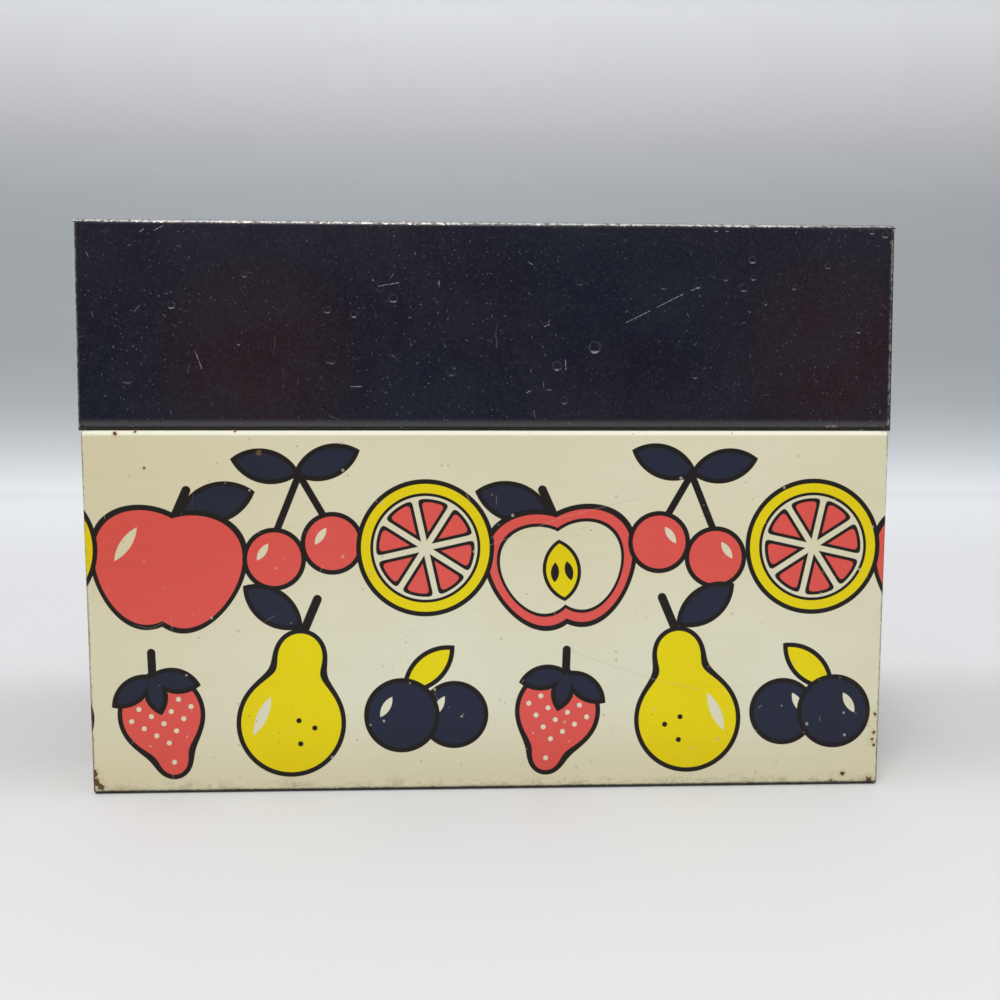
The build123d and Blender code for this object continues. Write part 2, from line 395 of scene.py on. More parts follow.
# %% Single strokes
# A stroke is one scratch or chip: a thin bar at a place on the front, turned by some degrees.
stroke, tree, given, made = new_group(
    "stroke",
    {"Place": (0, 0, 0), "At": (0, 0, 0), "Turn": 0.0, "Half Length": 1.0, "Half Width": 0.05},
    {"Stroke": "Float"},
)
away = tree.vector("SUBTRACT", given["Place"], given["At"])
turned = tree.add("VectorRotate", away, rotation_type="Y_AXIS")
tree.join(tree.sum("RADIANS", given["Turn"]), turned.inputs["Angle"])
x, y, z = tree.parts(tree.vector("ABSOLUTE", turned.outputs[0]))
beyond = tree.sum("MAXIMUM", tree.sum("SUBTRACT", x, given["Half Length"]), 0.0)
reach = tree.sum("MAXIMUM", beyond, tree.sum("MULTIPLY", y, 0.3))
off = tree.sum("SQRT", tree.sum("MULTIPLY_ADD", reach, reach, tree.sum("MULTIPLY", z, z)))
off = tree.sum("SUBTRACT", off, given["Half Width"])
tree.join(tree.ramp(off, 0.04, -0.04), made["Stroke"])
print("marks:", ding.name, stroke.name)

# %% [markdown]
# ## The dark enamel of the lid
# The lid carries an almost black blue stoving enamel that has browned to plum in places. It is
# worn to bright tin along its top fold, and specks show as lighter marks. The dings carry painted
# highlights on their lower rims, and the lower edge of the front a painted reflection and painted shade.

# %% Where the lid is dented and scratched
# Across and up in millimetres, then the radius and the strength of each ding.
LID_DINGS = (
    (-52.4, 81.7, 0.6, 1.0),
    (-53.3, 83.9, 0.4, 0.5),
    (-51.1, 91.7, 0.5, 0.3),
    (-59.2, 91.9, 0.6, 0.3),
    (-59.9, 69.8, 1.0, 0.3),
    (-40.5, 86.8, 0.5, 0.8),
    (-41.6, 75.6, 0.4, 0.9),
    (-27.0, 81.1, 0.6, 0.8),
    (-26.5, 73.1, 1.0, 0.3),
    (-22.6, 80.4, 0.6, 0.9),
    (-16.1, 83.0, 0.7, 0.9),
    (-6.6, 71.0, 0.8, 0.3),
    (11.1, 72.0, 0.8, 0.9),
    (12.3, 66.2, 0.6, 0.6),
    (14.8, 85.9, 0.6, 0.4),
    (17.4, 75.1, 1.0, 1.0),
    (28.9, 85.3, 0.6, 0.4),
    (34.3, 70.5, 0.6, 0.6),
    (34.7, 85.4, 0.5, 0.9),
    (39.4, 86.7, 0.5, 0.5),
    (42.4, 85.1, 0.7, 0.5),
    (43.8, 89.7, 0.6, 1.0),
    (44.0, 86.8, 0.5, 0.8),
    (46.1, 82.6, 0.4, 0.8),
    (51.0, 85.2, 0.4, 0.9),
    (56.6, 88.8, 0.5, 0.8),
    (62.1, 78.1, 0.5, 0.8),
    (37.6, 94.7, 0.4, 1.0),
    (39.5, 94.7, 0.4, 1.0),
    (64.0, 94.6, 0.5, 1.0),
    (66.3, 94.1, 0.6, 1.0),
)
# Across and up, then the turn in degrees and half the length of each stroke.
LID_STROKES = (
    (24.6, 80.2, 26, 2.2),
    (30.0, 82.9, 27, 2.4),
    (34.2, 84.9, 25, 0.7),
    (6.6, 88.9, -30, 0.4),
    (12.5, 72.2, -88, 0.8),
    (9.4, 78.7, 24, 0.5),
    (9.8, 68.0, 0, 0.3),
    (6.3, 67.7, 27, 0.4),
    (-48.2, 72.9, -70, 1.6),
    (-22.4, 68.5, 0, 0.9),
    (-16.9, 85.3, 10, 1.7),
    (-54.3, 94.2, 27, 0.8),
    (-57.0, 93.8, 40, 0.4),
    (61.4, 62.0, 0, 0.25),
    (64.6, 62.1, 6, 0.9),
)

# %% Lid enamel
TIN = shade(186, 186, 182)
flap_edge_mm = (lid_low[2] + FLAP_RISE) / mm
lid_enamel, tree, shader, place = new_finish("lid enamel")
lid_centre = (0, 0, lid_high[2] / mm - 100)
worn = tree.use(
    edge_wear,
    Place=place,
    Centre=lid_centre,
    Half_Size=(lid_half / mm, lid_back / mm, 100),
    Fold=0.3,
    Width=0.3,
    Patchy=0.3,
    Ragged=0.7,
)
x, y, z = tree.parts(place)
front = tree.ramp(y, -45.0, -45.8)
left_plum = tree.ramp(tree.vector("DISTANCE", place, (-39, -46, 74)), 26.0, 6.0)
right_plum = tree.ramp(tree.vector("DISTANCE", place, (59, -46, 74)), 28.0, 6.0)
cloud = tree.ramp(tree.noise(place, 0.02, 1.0), 0.35, 0.65)
plum = tree.sum("MAXIMUM", tree.sum("MAXIMUM", left_plum, right_plum), tree.sum("MULTIPLY", cloud, 0.4))
colour = tree.mix(plum, shade(10, 14, 31), shade(33, 19, 26))
mottle = tree.ramp(tree.noise(place, 0.06, 2.0), 0.3, 0.75)
colour = tree.mix(tree.sum("MULTIPLY", mottle, 0.2), colour, shade(34, 36, 48))
rise = tree.sum("SUBTRACT", z, flap_edge_mm)
# Painted reflection of the pale table: a grey band where the front leans in above its hem.
painted_hem_reflection = tree.sum("MULTIPLY", tree.ramp(rise, 1.6, 0.6), tree.ramp(rise, 0.15, 0.35))
colour = tree.mix(tree.sum("MULTIPLY", tree.sum("MULTIPLY", front, painted_hem_reflection), 0.85), colour, shade(74, 74, 75))
shaded = tree.sum("MULTIPLY", front, tree.ramp(rise, 0.35, 0.15))
colour = tree.mix(tree.sum("MULTIPLY", shaded, 0.9), colour, shade(14, 12, 10))
grain = tree.ramp(tree.noise(place, 2.4, 2.0, 0.7), 0.45, 0.75)
colour = tree.mix(tree.sum("MULTIPLY", grain, 0.25), colour, shade(66, 64, 70))
crowd = tree.ramp(tree.noise(place, 0.03, 2.0), 0.4, 0.62, 0.3, 1.0)
middle = tree.ramp(tree.vector("DISTANCE", place, (-7, -46, 78)), 32.0, 12.0)
crowd = tree.sum("MAXIMUM", crowd, middle)
dust = tree.use(specks, Place=place, Spacing=0.8, Size=0.09, Share=0.5)["Speck"]
nicks = tree.use(scratches, Place=place, Spacing=2.2, Length=0.22, Width=0.09, Share=0.4)["Scratch"]
grit = tree.sum("MULTIPLY", tree.sum("MAXIMUM", dust, nicks), crowd)
colour = tree.mix(tree.sum("MULTIPLY", grit, 0.8), colour, shade(118, 118, 124))
scratch = tree.use(scratches, Place=place, Spacing=14.0, Length=2.0, Width=0.07, Share=0.3)["Scratch"]
colour = tree.mix(tree.sum("MULTIPLY", scratch, 0.35), colour, shade(112, 112, 116))
# Each ding adds a painted highlight: a lighter crescent on its lower rim.
marks = 0.0
for across, up, radius, strength in LID_DINGS:
    mark = tree.use(ding, Place=place, At=(across, -46, up), Radius=radius, Strength=strength)
    marks = tree.sum("MAXIMUM", mark["Painted Highlight"], marks)
ragged = tree.ramp(tree.noise(place, 2.5, 2.0, 0.7), 0.3, 0.6)
colour = tree.mix(tree.sum("MULTIPLY", tree.sum("MULTIPLY", marks, ragged), 0.75), colour, shade(150, 150, 150))
strokes = 0.0
for across, up, turn, long in LID_STROKES:
    mark = tree.use(stroke, Place=place, At=(across, -46, up), Turn=turn, Half_Length=long)
    strokes = tree.sum("MAXIMUM", mark["Stroke"], strokes)
colour = tree.mix(tree.sum("MULTIPLY", tree.sum("MULTIPLY", strokes, ragged), 0.8), colour, shade(170, 170, 168))
chips = tree.use(specks, Place=place, Spacing=3.6, Size=0.42, Share=0.3)["Speck"]
chips = tree.sum("MULTIPLY", chips, tree.ramp(worn["Distance"], 1.6, 0.7))
bare = tree.sum("MAXIMUM", worn["Wear"], tree.sum("MULTIPLY", chips, 0.9))
dull_end = tree.ramp(x, 44.0, 56.0, 1.0, 0.7)
bare = tree.sum("MULTIPLY", bare, tree.ramp(z, 92.0, 95.0, 0.45, dull_end))
tarnish = tree.noise(place, 1.1, 3.0, 0.65)
bright = tree.sum("MULTIPLY", tree.ramp(tarnish, 0.36, 0.54), tree.ramp(z, 92.0, 95.0))
bare_colour = tree.mix(bright, shade(112, 104, 98), TIN)
colour = tree.mix(bare, colour, bare_colour)
FLAP_CORNER = 1.2
FLAP_SHIFT = 0.25
past = tree.sum("ABSOLUTE", tree.sum("ADD", x, FLAP_SHIFT))
past = tree.sum("SUBTRACT", past, flap_half / mm - FLAP_CORNER)
past = tree.sum("MAXIMUM", past, 0.0)
under = tree.sum("MAXIMUM", tree.sum("SUBTRACT", FLAP_CORNER, rise), 0.0)
past = tree.sum("SQRT", tree.sum("MULTIPLY_ADD", past, past, tree.sum("MULTIPLY", under, under)))
past = tree.sum("SUBTRACT", past, FLAP_CORNER)
facing = tree.sum("MULTIPLY", tree.ramp(y, -44.5, -45.1), tree.ramp(z, 95.5, 95.1))
strip = tree.sum("MULTIPLY", tree.ramp(past, 0.0, 0.15), facing)
strip = tree.sum("MULTIPLY", strip, tree.ramp(tree.sum("ABSOLUTE", x), 65.5, 66.0))
dull = tree.mix(tree.ramp(tarnish, 0.42, 0.58), shade(56, 50, 48), shade(150, 146, 140))
dull = tree.mix(tree.ramp(past, 0.5, 0.75), dull, shade(60, 57, 56))
colour = tree.mix(tree.sum("MULTIPLY", strip, 0.85), colour, dull)
# Painted shade in the crease where the front flap meets the end's rounded corner.
painted_crease_shade = tree.sum("MULTIPLY", strip, tree.ramp(tree.sum("ABSOLUTE", tree.sum("SUBTRACT", past, 0.12)), 0.14, 0.04))
colour = tree.mix(tree.sum("MULTIPLY", painted_crease_shade, 0.9), colour, shade(24, 20, 20))
rusty = tree.use(stroke, Place=place, At=(57.8, -46, 62.0), Half_Length=0.8, Half_Width=0.22)["Stroke"]
colour = tree.mix(tree.sum("MULTIPLY", rusty, ragged), colour, shade(142, 118, 104))
tree.join(colour, shader["Base Color"])
tree.join(tree.sum("MULTIPLY", bare, 0.75), shader["Metallic"])
gloss = tree.ramp(tree.noise(place, 0.12, 3.0), 0.35, 0.7, 0.24, 0.34)
tree.join(tree.sum("ADD", gloss, tree.sum("MULTIPLY", grit, 0.2)), shader["Roughness"])
shader["Specular IOR Level"].default_value = 0.22
peel = tree.noise(place, 1.5, 2.0, 0.6)
height = tree.sum("MULTIPLY_ADD", bare, -0.02, tree.sum("MULTIPLY", peel, 0.012))
bump = tree.add("Bump")
bump.inputs["Strength"].default_value = 0.6
bump.inputs["Distance"].default_value = mm
tree.join(height, bump.inputs["Height"])
tree.join(bump.outputs[0], shader["Normal"])
print("lid enamel nodes:", len(lid_enamel.node_tree.nodes))

# %% [markdown]
# ## Drawing the print
# Lithography lays flat inks on the sheet: a cream ground, three colours, and a near black line
# round every shape. An image could be wrapped on, but a shape can also be drawn as a distance:
# below zero is inside, and a band round zero is its outline. Small helpers give a circle, a leaf
# and a stalk, and Drawing lays them over one another as the printing plates do.

# %% Shapes from distances
GROUND = shade(219, 213, 184)
CORAL = shade(219, 86, 78)
YELLOW = shade(227, 205, 12)
NAVY = shade(37, 40, 57)
LINE = shade(30, 26, 23)
LINE_WIDTH = 0.8


class Drawing:
    """Flat shapes drawn over one another, each with a dark line round it."""

    def __init__(self, tree, place):
        self.tree = tree
        self.place = place
        self.colour = None
        self.cover = None

    def shape(self, distance, fill, line=LINE_WIDTH):
        """Prints a fill and the line round it."""
        outer = self.tree.ramp(distance, line / 2 + 0.05, line / 2 - 0.05)
        inner = self.tree.ramp(distance, 0.05 - line / 2, -0.05 - line / 2)
        self.lay(outer, self.tree.mix(inner, LINE, fill))

    def patch(self, distance, fill):
        """Prints a fill alone."""
        self.lay(self.tree.ramp(distance, 0.05, -0.05), fill)

    def lay(self, mask, colour):
        """Lays a colour over what is already there."""
        if self.colour is None:
            self.colour, self.cover = colour, mask
        else:
            self.colour = self.tree.mix(mask, self.colour, colour)
            self.cover = self.tree.sum("MAXIMUM", self.cover, mask)

    def circle(self, x, y, radius):
        return self.tree.sum("SUBTRACT", self.tree.vector("DISTANCE", self.place, (x, y, 0)), radius)

    def turned(self, x, y, degrees):
        """The place as seen from a shape's own middle and lie, folded into one quarter."""
        node = self.tree.add("VectorRotate", self.place, rotation_type="Z_AXIS")
        node.inputs["Center"].default_value = (x, y, 0)
        node.inputs["Angle"].default_value = math.radians(-degrees)
        return self.tree.vector("ABSOLUTE", self.tree.vector("SUBTRACT", node.outputs[0], (x, y, 0)))

    def leaf(self, x, y, degrees, long, wide):
        """A pointed leaf of half length long and half width wide."""
        radius = (long * long + wide * wide) / (2 * wide)
        away = self.tree.vector("ADD", self.turned(x, y, degrees), (0, radius - wide, 0))
        return self.tree.sum("SUBTRACT", self.tree.vector("LENGTH", away), radius)

    def stalk(self, x, y, degrees, long, wide):
        """A round ended bar of half length long and half width wide."""
        rest = self.tree.vector("SUBTRACT", self.turned(x, y, degrees), (long, 0, 0))
        rest = self.tree.vector("MAXIMUM", rest, (0, 0, 0))
        return self.tree.sum("SUBTRACT", self.tree.vector("LENGTH", rest), wide)

    def joined(self, first, second, blend=0.0):
        return self.tree.sum("SMOOTH_MIN", first, second, blend)


def new_motif(name, extra=None):
    """A node group that draws one motif round its own middle."""
    inputs = {"Place": (0, 0, 0), **(extra or {})}
    group, tree, given, made = new_group(name, inputs, {"Color": "Color", "Cover": "Float"})
    return group, tree, Drawing(tree, given["Place"]), given, made


def close_motif(drawing, made):
    drawing.tree.join(drawing.colour, made["Color"])
    drawing.tree.join(drawing.cover, made["Cover"])


# %% Apple
apple, tree, ink, given, made = new_motif("apple", {"Halved": 0.0})
ink.shape(ink.stalk(0.9, 10.5, 72, 3.2, 0.35), LINE)
ink.shape(ink.leaf(7.0, 12.0, 22, 6.2, 3.0), NAVY)
x, y, z = tree.parts(given["Place"])
lobe = tree.sum("MULTIPLY", tree.sum("ABSOLUTE", x), tree.sum("MULTIPLY_ADD", y, -0.018, 1.0))
lobes = tree.add("CombineXYZ", tree.sum("SUBTRACT", lobe, 3.6), tree.sum("MULTIPLY", y, 0.88), 0.0)
body = tree.sum("SUBTRACT", tree.vector("LENGTH", lobes.outputs[0]), 8.8)
ink.shape(body, CORAL)
ink.patch(ink.leaf(-7.2, 3.6, 62, 3.4, 0.9), GROUND)
flesh = tree.mix(tree.ramp(body, -2.2, -2.3), LINE, GROUND)
core = ink.leaf(0, -0.4, 90, 5.0, 3.0)
flesh = tree.mix(tree.ramp(core, 0.3, 0.2), flesh, LINE)
flesh = tree.mix(tree.ramp(core, -0.3, -0.4), flesh, YELLOW)
pips = ink.joined(ink.leaf(-1.2, -0.6, 82, 1.7, 0.7), ink.leaf(1.2, -0.6, 98, 1.7, 0.7))
flesh = tree.mix(tree.ramp(pips, 0.05, -0.05), flesh, LINE)
ink.lay(tree.sum("MULTIPLY", tree.ramp(body, -1.7, -1.8), given["Halved"]), flesh)
close_motif(ink, made)

# %% Pear
pear, tree, ink, given, made = new_motif("pear")
ink.shape(ink.stalk(0.8, 13.4, 75, 3.0, 0.35), LINE)
ink.shape(ink.leaf(-5.6, 14.0, 152, 5.6, 2.7), NAVY)
ink.shape(ink.joined(ink.circle(0, -5.2, 8.8), ink.circle(0, 6.6, 4.0), 7.0), YELLOW)
ink.patch(ink.leaf(-5.0, -4.6, 74, 3.6, 0.9), GROUND)
for x, y in ((2.0, -8.5), (4.0, -5.5), (1.2, -4.6)):
    ink.patch(ink.circle(x, y, 0.45), LINE)
close_motif(ink, made)

# %% Citrus slice
citrus, tree, ink, given, made = new_motif("citrus slice")
ink.shape(ink.circle(0, 0, 11.2), YELLOW)
ink.shape(ink.circle(0, 0, 9.0), GROUND, 0.5)
x, y, z = tree.parts(given["Place"])
eighth = tree.sum("MULTIPLY", tree.sum("ARCTAN2", y, x), 8 / math.tau)
spoke = tree.sum("PINGPONG", tree.sum("ADD", eighth, 8.5), 0.5)
radius = tree.vector("LENGTH", given["Place"])
aside = tree.sum("MULTIPLY", radius, tree.sum("SINE", tree.sum("MULTIPLY", spoke, math.tau / 8)))
wedge = tree.sum("SMOOTH_MAX", tree.sum("SUBTRACT", radius, 8.0), tree.sum("SUBTRACT", 0.75, aside), 1.2)
ink.shape(wedge, CORAL, 0.55)
close_motif(ink, made)

# %% Cherries
cherries, tree, ink, given, made = new_motif("cherries")
ink.shape(ink.joined(ink.leaf(5.6, 9.4, 14, 5.4, 2.5), ink.leaf(-4.6, 9.8, 162, 5.4, 2.5)), NAVY)
ink.shape(ink.joined(ink.stalk(-2.2, 2.2, 62, 6.0, 0.2), ink.stalk(2.8, 3.4, -66, 5.2, 0.2)), LINE, 0.8)
for x, y in ((-4.9, -5.8), (5.0, -4.2)):
    ink.shape(ink.circle(x, y, 4.9), CORAL)
    ink.patch(ink.leaf(x - 1.8, y + 1.4, 50, 1.7, 0.6), GROUND)
close_motif(ink, made)

# %% Strawberry
strawberry, tree, ink, given, made = new_motif("strawberry")
body = ink.joined(ink.circle(0, 1.6, 6.9), ink.circle(0, -7.0, 2.2), 7.5)
ink.shape(body, CORAL)
seeds = tree.vector("WRAP", given["Place"], (1.7, 1.7, 1), (-1.7, -1.7, -1))
between = tree.vector("ADD", given["Place"], (1.7, 1.7, 0))
between = tree.vector("WRAP", between, (1.7, 1.7, 1), (-1.7, -1.7, -1))
seed = tree.sum("MINIMUM", tree.vector("LENGTH", seeds), tree.vector("LENGTH", between))
ink.patch(tree.sum("MAXIMUM", tree.sum("SUBTRACT", seed, 0.42), tree.sum("ADD", body, 1.3)), GROUND)
ink.shape(ink.stalk(0.6, 10.0, 78, 2.2, 0.3), LINE)
cap = ink.joined(ink.leaf(-3.6, 6.6, 24, 3.9, 1.8), ink.leaf(3.6, 6.6, -24, 3.9, 1.8))
ink.shape(ink.joined(cap, ink.leaf(0, 5.4, 90, 3.4, 1.6)), NAVY, 0.8)
close_motif(ink, made)

# %% Plums
plums, tree, ink, given, made = new_motif("plums")
ink.shape(ink.leaf(1.4, 6.8, 34, 5.4, 2.4), YELLOW)
for x, y, radius in ((4.6, -1.6, 5.4), (-4.2, -0.4, 6.0)):
    ink.shape(ink.circle(x, y, radius), NAVY)
    ink.patch(ink.leaf(x - 2.4, y + 1.8, 52, 2.0, 0.7), GROUND)
close_motif(ink, made)
print("motifs:", [g.name for g in (apple, pear, citrus, cherries, strawberry, plums)])

# %% [markdown]
# ## Repeating the print
# Kitchen tins carry simple all-over repeats. Each motif is drawn once and wrapped round at equal
# steps, and every second one is mirrored, so the sheet looks tossed and not stamped.

# %% The all-over print
REPEAT = 66.0
all_over, tree, given, made = new_group(
    "all-over print", {"Across": 0.0, "Up": 0.0}, {"Color": "Color", "Ink": "Float"}
)
paper = tree.add("CombineXYZ", given["Across"], given["Up"], 0.0).outputs[0]
colour = None
cover = None
for motif, across, up, tilt in (
    (apple, -54.0, 38.0, 6),
    (strawberry, -55.0, 12.0, -14),
    (cherries, -32.0, 46.0, -6),
    (pear, -33.0, 17.0, 8),
    (citrus, -11.0, 41.5, 10),
    (plums, -11.0, 14.0, -8),
):
    shifted = tree.vector("SUBTRACT", paper, (across, up, 0))
    local = tree.vector("WRAP", shifted, (REPEAT / 2, 500, 1), (-REPEAT / 2, -500, -1))
    count = tree.sum("FLOOR", tree.sum("MULTIPLY_ADD", tree.parts(shifted)[0], 1 / REPEAT, 0.5))
    odd = tree.sum("FLOORED_MODULO", count, 2.0)
    flip = tree.add("CombineXYZ", tree.sum("MULTIPLY_ADD", odd, -2.0, 1.0), 1.0, 0.0).outputs[0]
    leaning = tree.add("VectorRotate", tree.vector("MULTIPLY", local, flip), rotation_type="Z_AXIS")
    leaning.inputs["Angle"].default_value = math.radians(tilt)
    values = {"Place": leaning.outputs[0]}
    if motif is apple:
        values["Halved"] = odd
    printed = tree.use(motif, **values)
    if colour is None:
        colour, cover = printed["Color"], printed["Cover"]
    else:
        colour = tree.mix(printed["Cover"], colour, printed["Color"])
        cover = tree.sum("MAXIMUM", cover, printed["Cover"])
colour = tree.mix(cover, GROUND, colour)
tree.join(colour, made["Color"])
tree.join(cover, made["Ink"])
print("all-over print nodes:", len(all_over.nodes))

# %% [markdown]
# ## The printed tin of the body
# The print is varnished, so it has a soft gloss. Rust comes through at the lower edge, the
# varnish has yellowed a little, and the neck under the lid is plain cream.

# %% Printed tin
# Across, up and radius in millimetres of the chips where rust shows through the print.
BODY_CHIPS = (
    (-62.1, 60.6, 0.35),
    (-58.9, 61.0, 0.25),
    (-42.5, 61.1, 0.2),
    (-38.6, 57.5, 0.25),
    (-57.5, 55.0, 0.2),
    (-66.7, 3.6, 0.6),
    (-66.5, 2.2, 0.8),
    (-65.6, 1.3, 0.6),
    (60.9, 2.0, 0.4),
    (66.4, 12.4, 0.3),
    (66.2, 9.2, 0.3),
    (66.0, 8.0, 0.25),
    (66.3, 6.9, 0.25),
    (58.9, 0.9, 0.3),
    (65.6, 0.9, 0.6),
)


# Across and up, then the turn in degrees and half the length of each hairline on the front.
BODY_HAIRLINES = (
    (13.7, 24.6, -60, 1.2),
    (17.8, 22.3, -21, 3.7),
    (24.6, 19.9, -18, 3.6),
    (32.0, 17.8, -13, 4.0),
    (5.8, 44.2, 21, 6.3),
    (18.5, 48.2, 14, 7.0),
)


def print_on_tin(name, along):
    """The body's finish: the wrap is printed along x and the ends along y."""
    material, tree, shader, place = new_finish(name)
    x, y, z = tree.parts(place)
    printed = tree.use(all_over, Across=x if along == "x" else tree.sum("ADD", y, 8.0), Up=z)
    plain = tree.sum("MAXIMUM", tree.ramp(z, 59.6, 59.8), tree.ramp(z, 0.5, 0.4))
    if along == "y":
        plain = tree.sum("MAXIMUM", plain, tree.ramp(tree.sum("ABSOLUTE", y), 44.3, 44.5))
    colour = tree.mix(plain, printed["Color"], GROUND)
    # Yellowed varnish in patches; the print is also made yellower and darker towards the left and the bottom.
    yellowed_and_darker_low_left = tree.ramp(tree.noise(place, 0.03, 4.0, 0.6), 0.35, 0.7)
    yellowed_and_darker_low_left = tree.sum("MAXIMUM", yellowed_and_darker_low_left, tree.ramp(x, -10.0, -70.0, 0.0, 2.4))
    yellowed_and_darker_low_left = tree.sum("MAXIMUM", yellowed_and_darker_low_left, tree.ramp(z, 22.0, 0.0, 0.0, 1.8))
    colour = tree.mix(tree.sum("MULTIPLY", yellowed_and_darker_low_left, 0.14), colour, shade(225, 208, 158), "MULTIPLY")
    # Painted light bounced up from the table: the print is lighter and cooler low on the front, less so at the very
    # bottom and at the right end.
    painted_floor_bounce = tree.sum("MULTIPLY", tree.ramp(z, 46.0, 22.0), tree.ramp(z, 0.0, 14.0, 0.3, 1.0))
    painted_floor_bounce = tree.sum("MULTIPLY", painted_floor_bounce, tree.ramp(x, 66.0, 50.0, 0.3, 1.0))
    colour = tree.mix(painted_floor_bounce, colour, (1.065, 1.11, 1.2, 1), "MULTIPLY")
    rolled = tree.noise(tree.vector("MULTIPLY", place, (0.02, 1.0, 1.2)), 1.0, 3.0, 0.6)
    colour = tree.mix(tree.ramp(rolled, 0.5, 0.8, 0.0, 0.06), colour, shade(200, 194, 176), "MULTIPLY")
    # Painted highlight on the rounded shoulder under the lid, with a glossier coat there.
    painted_shoulder_highlight = tree.sum("MULTIPLY", tree.ramp(z, end_top_mm - 0.5, end_top_mm + 0.1), tree.ramp(y, -45.0, -45.3))
    colour = tree.mix(tree.sum("MULTIPLY", painted_shoulder_highlight, 0.9), colour, shade(252, 249, 228))
    # Painted shadow in the gap under the lid's lower edge.
    painted_gap_shadow = tree.sum("MULTIPLY", tree.ramp(z, end_top_mm + 0.5, end_top_mm + 0.62), tree.ramp(y, -45.0, -45.2))
    colour = tree.mix(tree.sum("MULTIPLY", painted_gap_shadow, 0.95), colour, shade(30, 27, 22))
    fleck = tree.use(specks, Place=place, Spacing=1.2, Size=0.12, Share=0.16)["Speck"]
    colour = tree.mix(tree.sum("MULTIPLY", fleck, 0.65), colour, shade(140, 124, 96))
    nick = tree.use(scratches, Place=place, Spacing=5.0, Length=0.5, Width=0.08, Share=0.3)["Scratch"]
    colour = tree.mix(tree.sum("MULTIPLY", nick, 0.5), colour, shade(176, 170, 152))
    pit = tree.use(specks, Place=tree.vector("ADD", place, (3, 1, 5)), Spacing=2.2, Size=0.24, Share=0.14)["Speck"]
    pitted = tree.mix(tree.noise(place, 3.0, 2.0), shade(120, 100, 70), shade(232, 228, 208))
    colour = tree.mix(tree.sum("MULTIPLY", pit, 0.6), colour, pitted)
    scuff = tree.noise(tree.vector("MULTIPLY", place, (0.5, 1.0, 1.6)), 1.0, 4.0, 0.75)
    scuff = tree.sum("MULTIPLY", tree.ramp(scuff, 0.52, 0.6), tree.ramp(z, 2.6, 0.4))
    colour = tree.mix(tree.sum("MULTIPLY", scuff, 0.55), colour, shade(158, 151, 128))
    line = tree.use(scratches, Place=place, Spacing=17.0, Length=4.5, Width=0.06, Share=0.5, Wander=0.6)
    hairline = line["Scratch"]
    for across, up, turn, long in BODY_HAIRLINES if along == "x" else ():
        at = (across, -45.55, up)
        drawn = tree.use(stroke, Place=place, At=at, Turn=turn, Half_Length=long)["Stroke"]
        hairline = tree.sum("MAXIMUM", drawn, hairline)
    colour = tree.mix(tree.sum("MULTIPLY", hairline, 0.4), colour, shade(172, 166, 148))
    lean = tree.ramp(z, 0.0, end_top_mm, base_spread, 1.0)
    squared = tree.add("CombineXYZ", tree.sum("MULTIPLY", x, lean), y, z).outputs[0]
    worn = tree.use(
        edge_wear,
        Place=squared,
        Centre=(0, 0, 100),
        Half_Size=(body_half / mm, body_back / mm, 100),
        Fold=0.14,
        Width=0.2,
        Patchy=0.5,
        Ragged=0.9,
    )
    low = tree.ramp(z, 14.0, 0.0, 0.0, 1.0)
    damp = tree.ramp(tree.noise(tree.vector("ADD", place, (9, 0, 4)), 0.16, 4.0, 0.7), 0.5, 0.66)
    near_edge = tree.ramp(worn["Distance"], 3.4, 0.4)
    stain = tree.sum("MULTIPLY", tree.sum("MULTIPLY", damp, near_edge), tree.sum("MULTIPLY_ADD", low, 0.5, 0.1))
    colour = tree.mix(tree.sum("MULTIPLY", stain, 0.6), colour, shade(138, 98, 58))
    ragged = tree.noise(place, 1.4, 4.0, 0.7)
    rust = tree.mix(tree.noise(place, 2.2, 3.0, 0.7), shade(50, 40, 32), shade(116, 90, 66))
    away = 9.0
    for across, up, radius in BODY_CHIPS if along == "x" else ():
        reach = tree.vector("DISTANCE", place, (across, -45.55, up))
        away = tree.sum("MINIMUM", tree.sum("DIVIDE", reach, radius), away)
    away = tree.sum("MULTIPLY_ADD", ragged, 3.2, tree.sum("SUBTRACT", away, 1.6))
    colour = tree.mix(tree.ramp(away, 2.6, 0.8, 0.0, 0.3), colour, shade(184, 138, 84))
    colour = tree.mix(tree.ramp(away, 1.05, 0.85), colour, rust)
    bare = tree.mix(tree.ramp(tree.noise(place, 0.8, 3.0), 0.45, 0.6), rust, shade(120, 116, 108))
    edge = tree.sum("MULTIPLY", worn["Wear"], tree.sum("MULTIPLY_ADD", low, 0.3, 0.6))
    colour = tree.mix(edge, colour, bare)
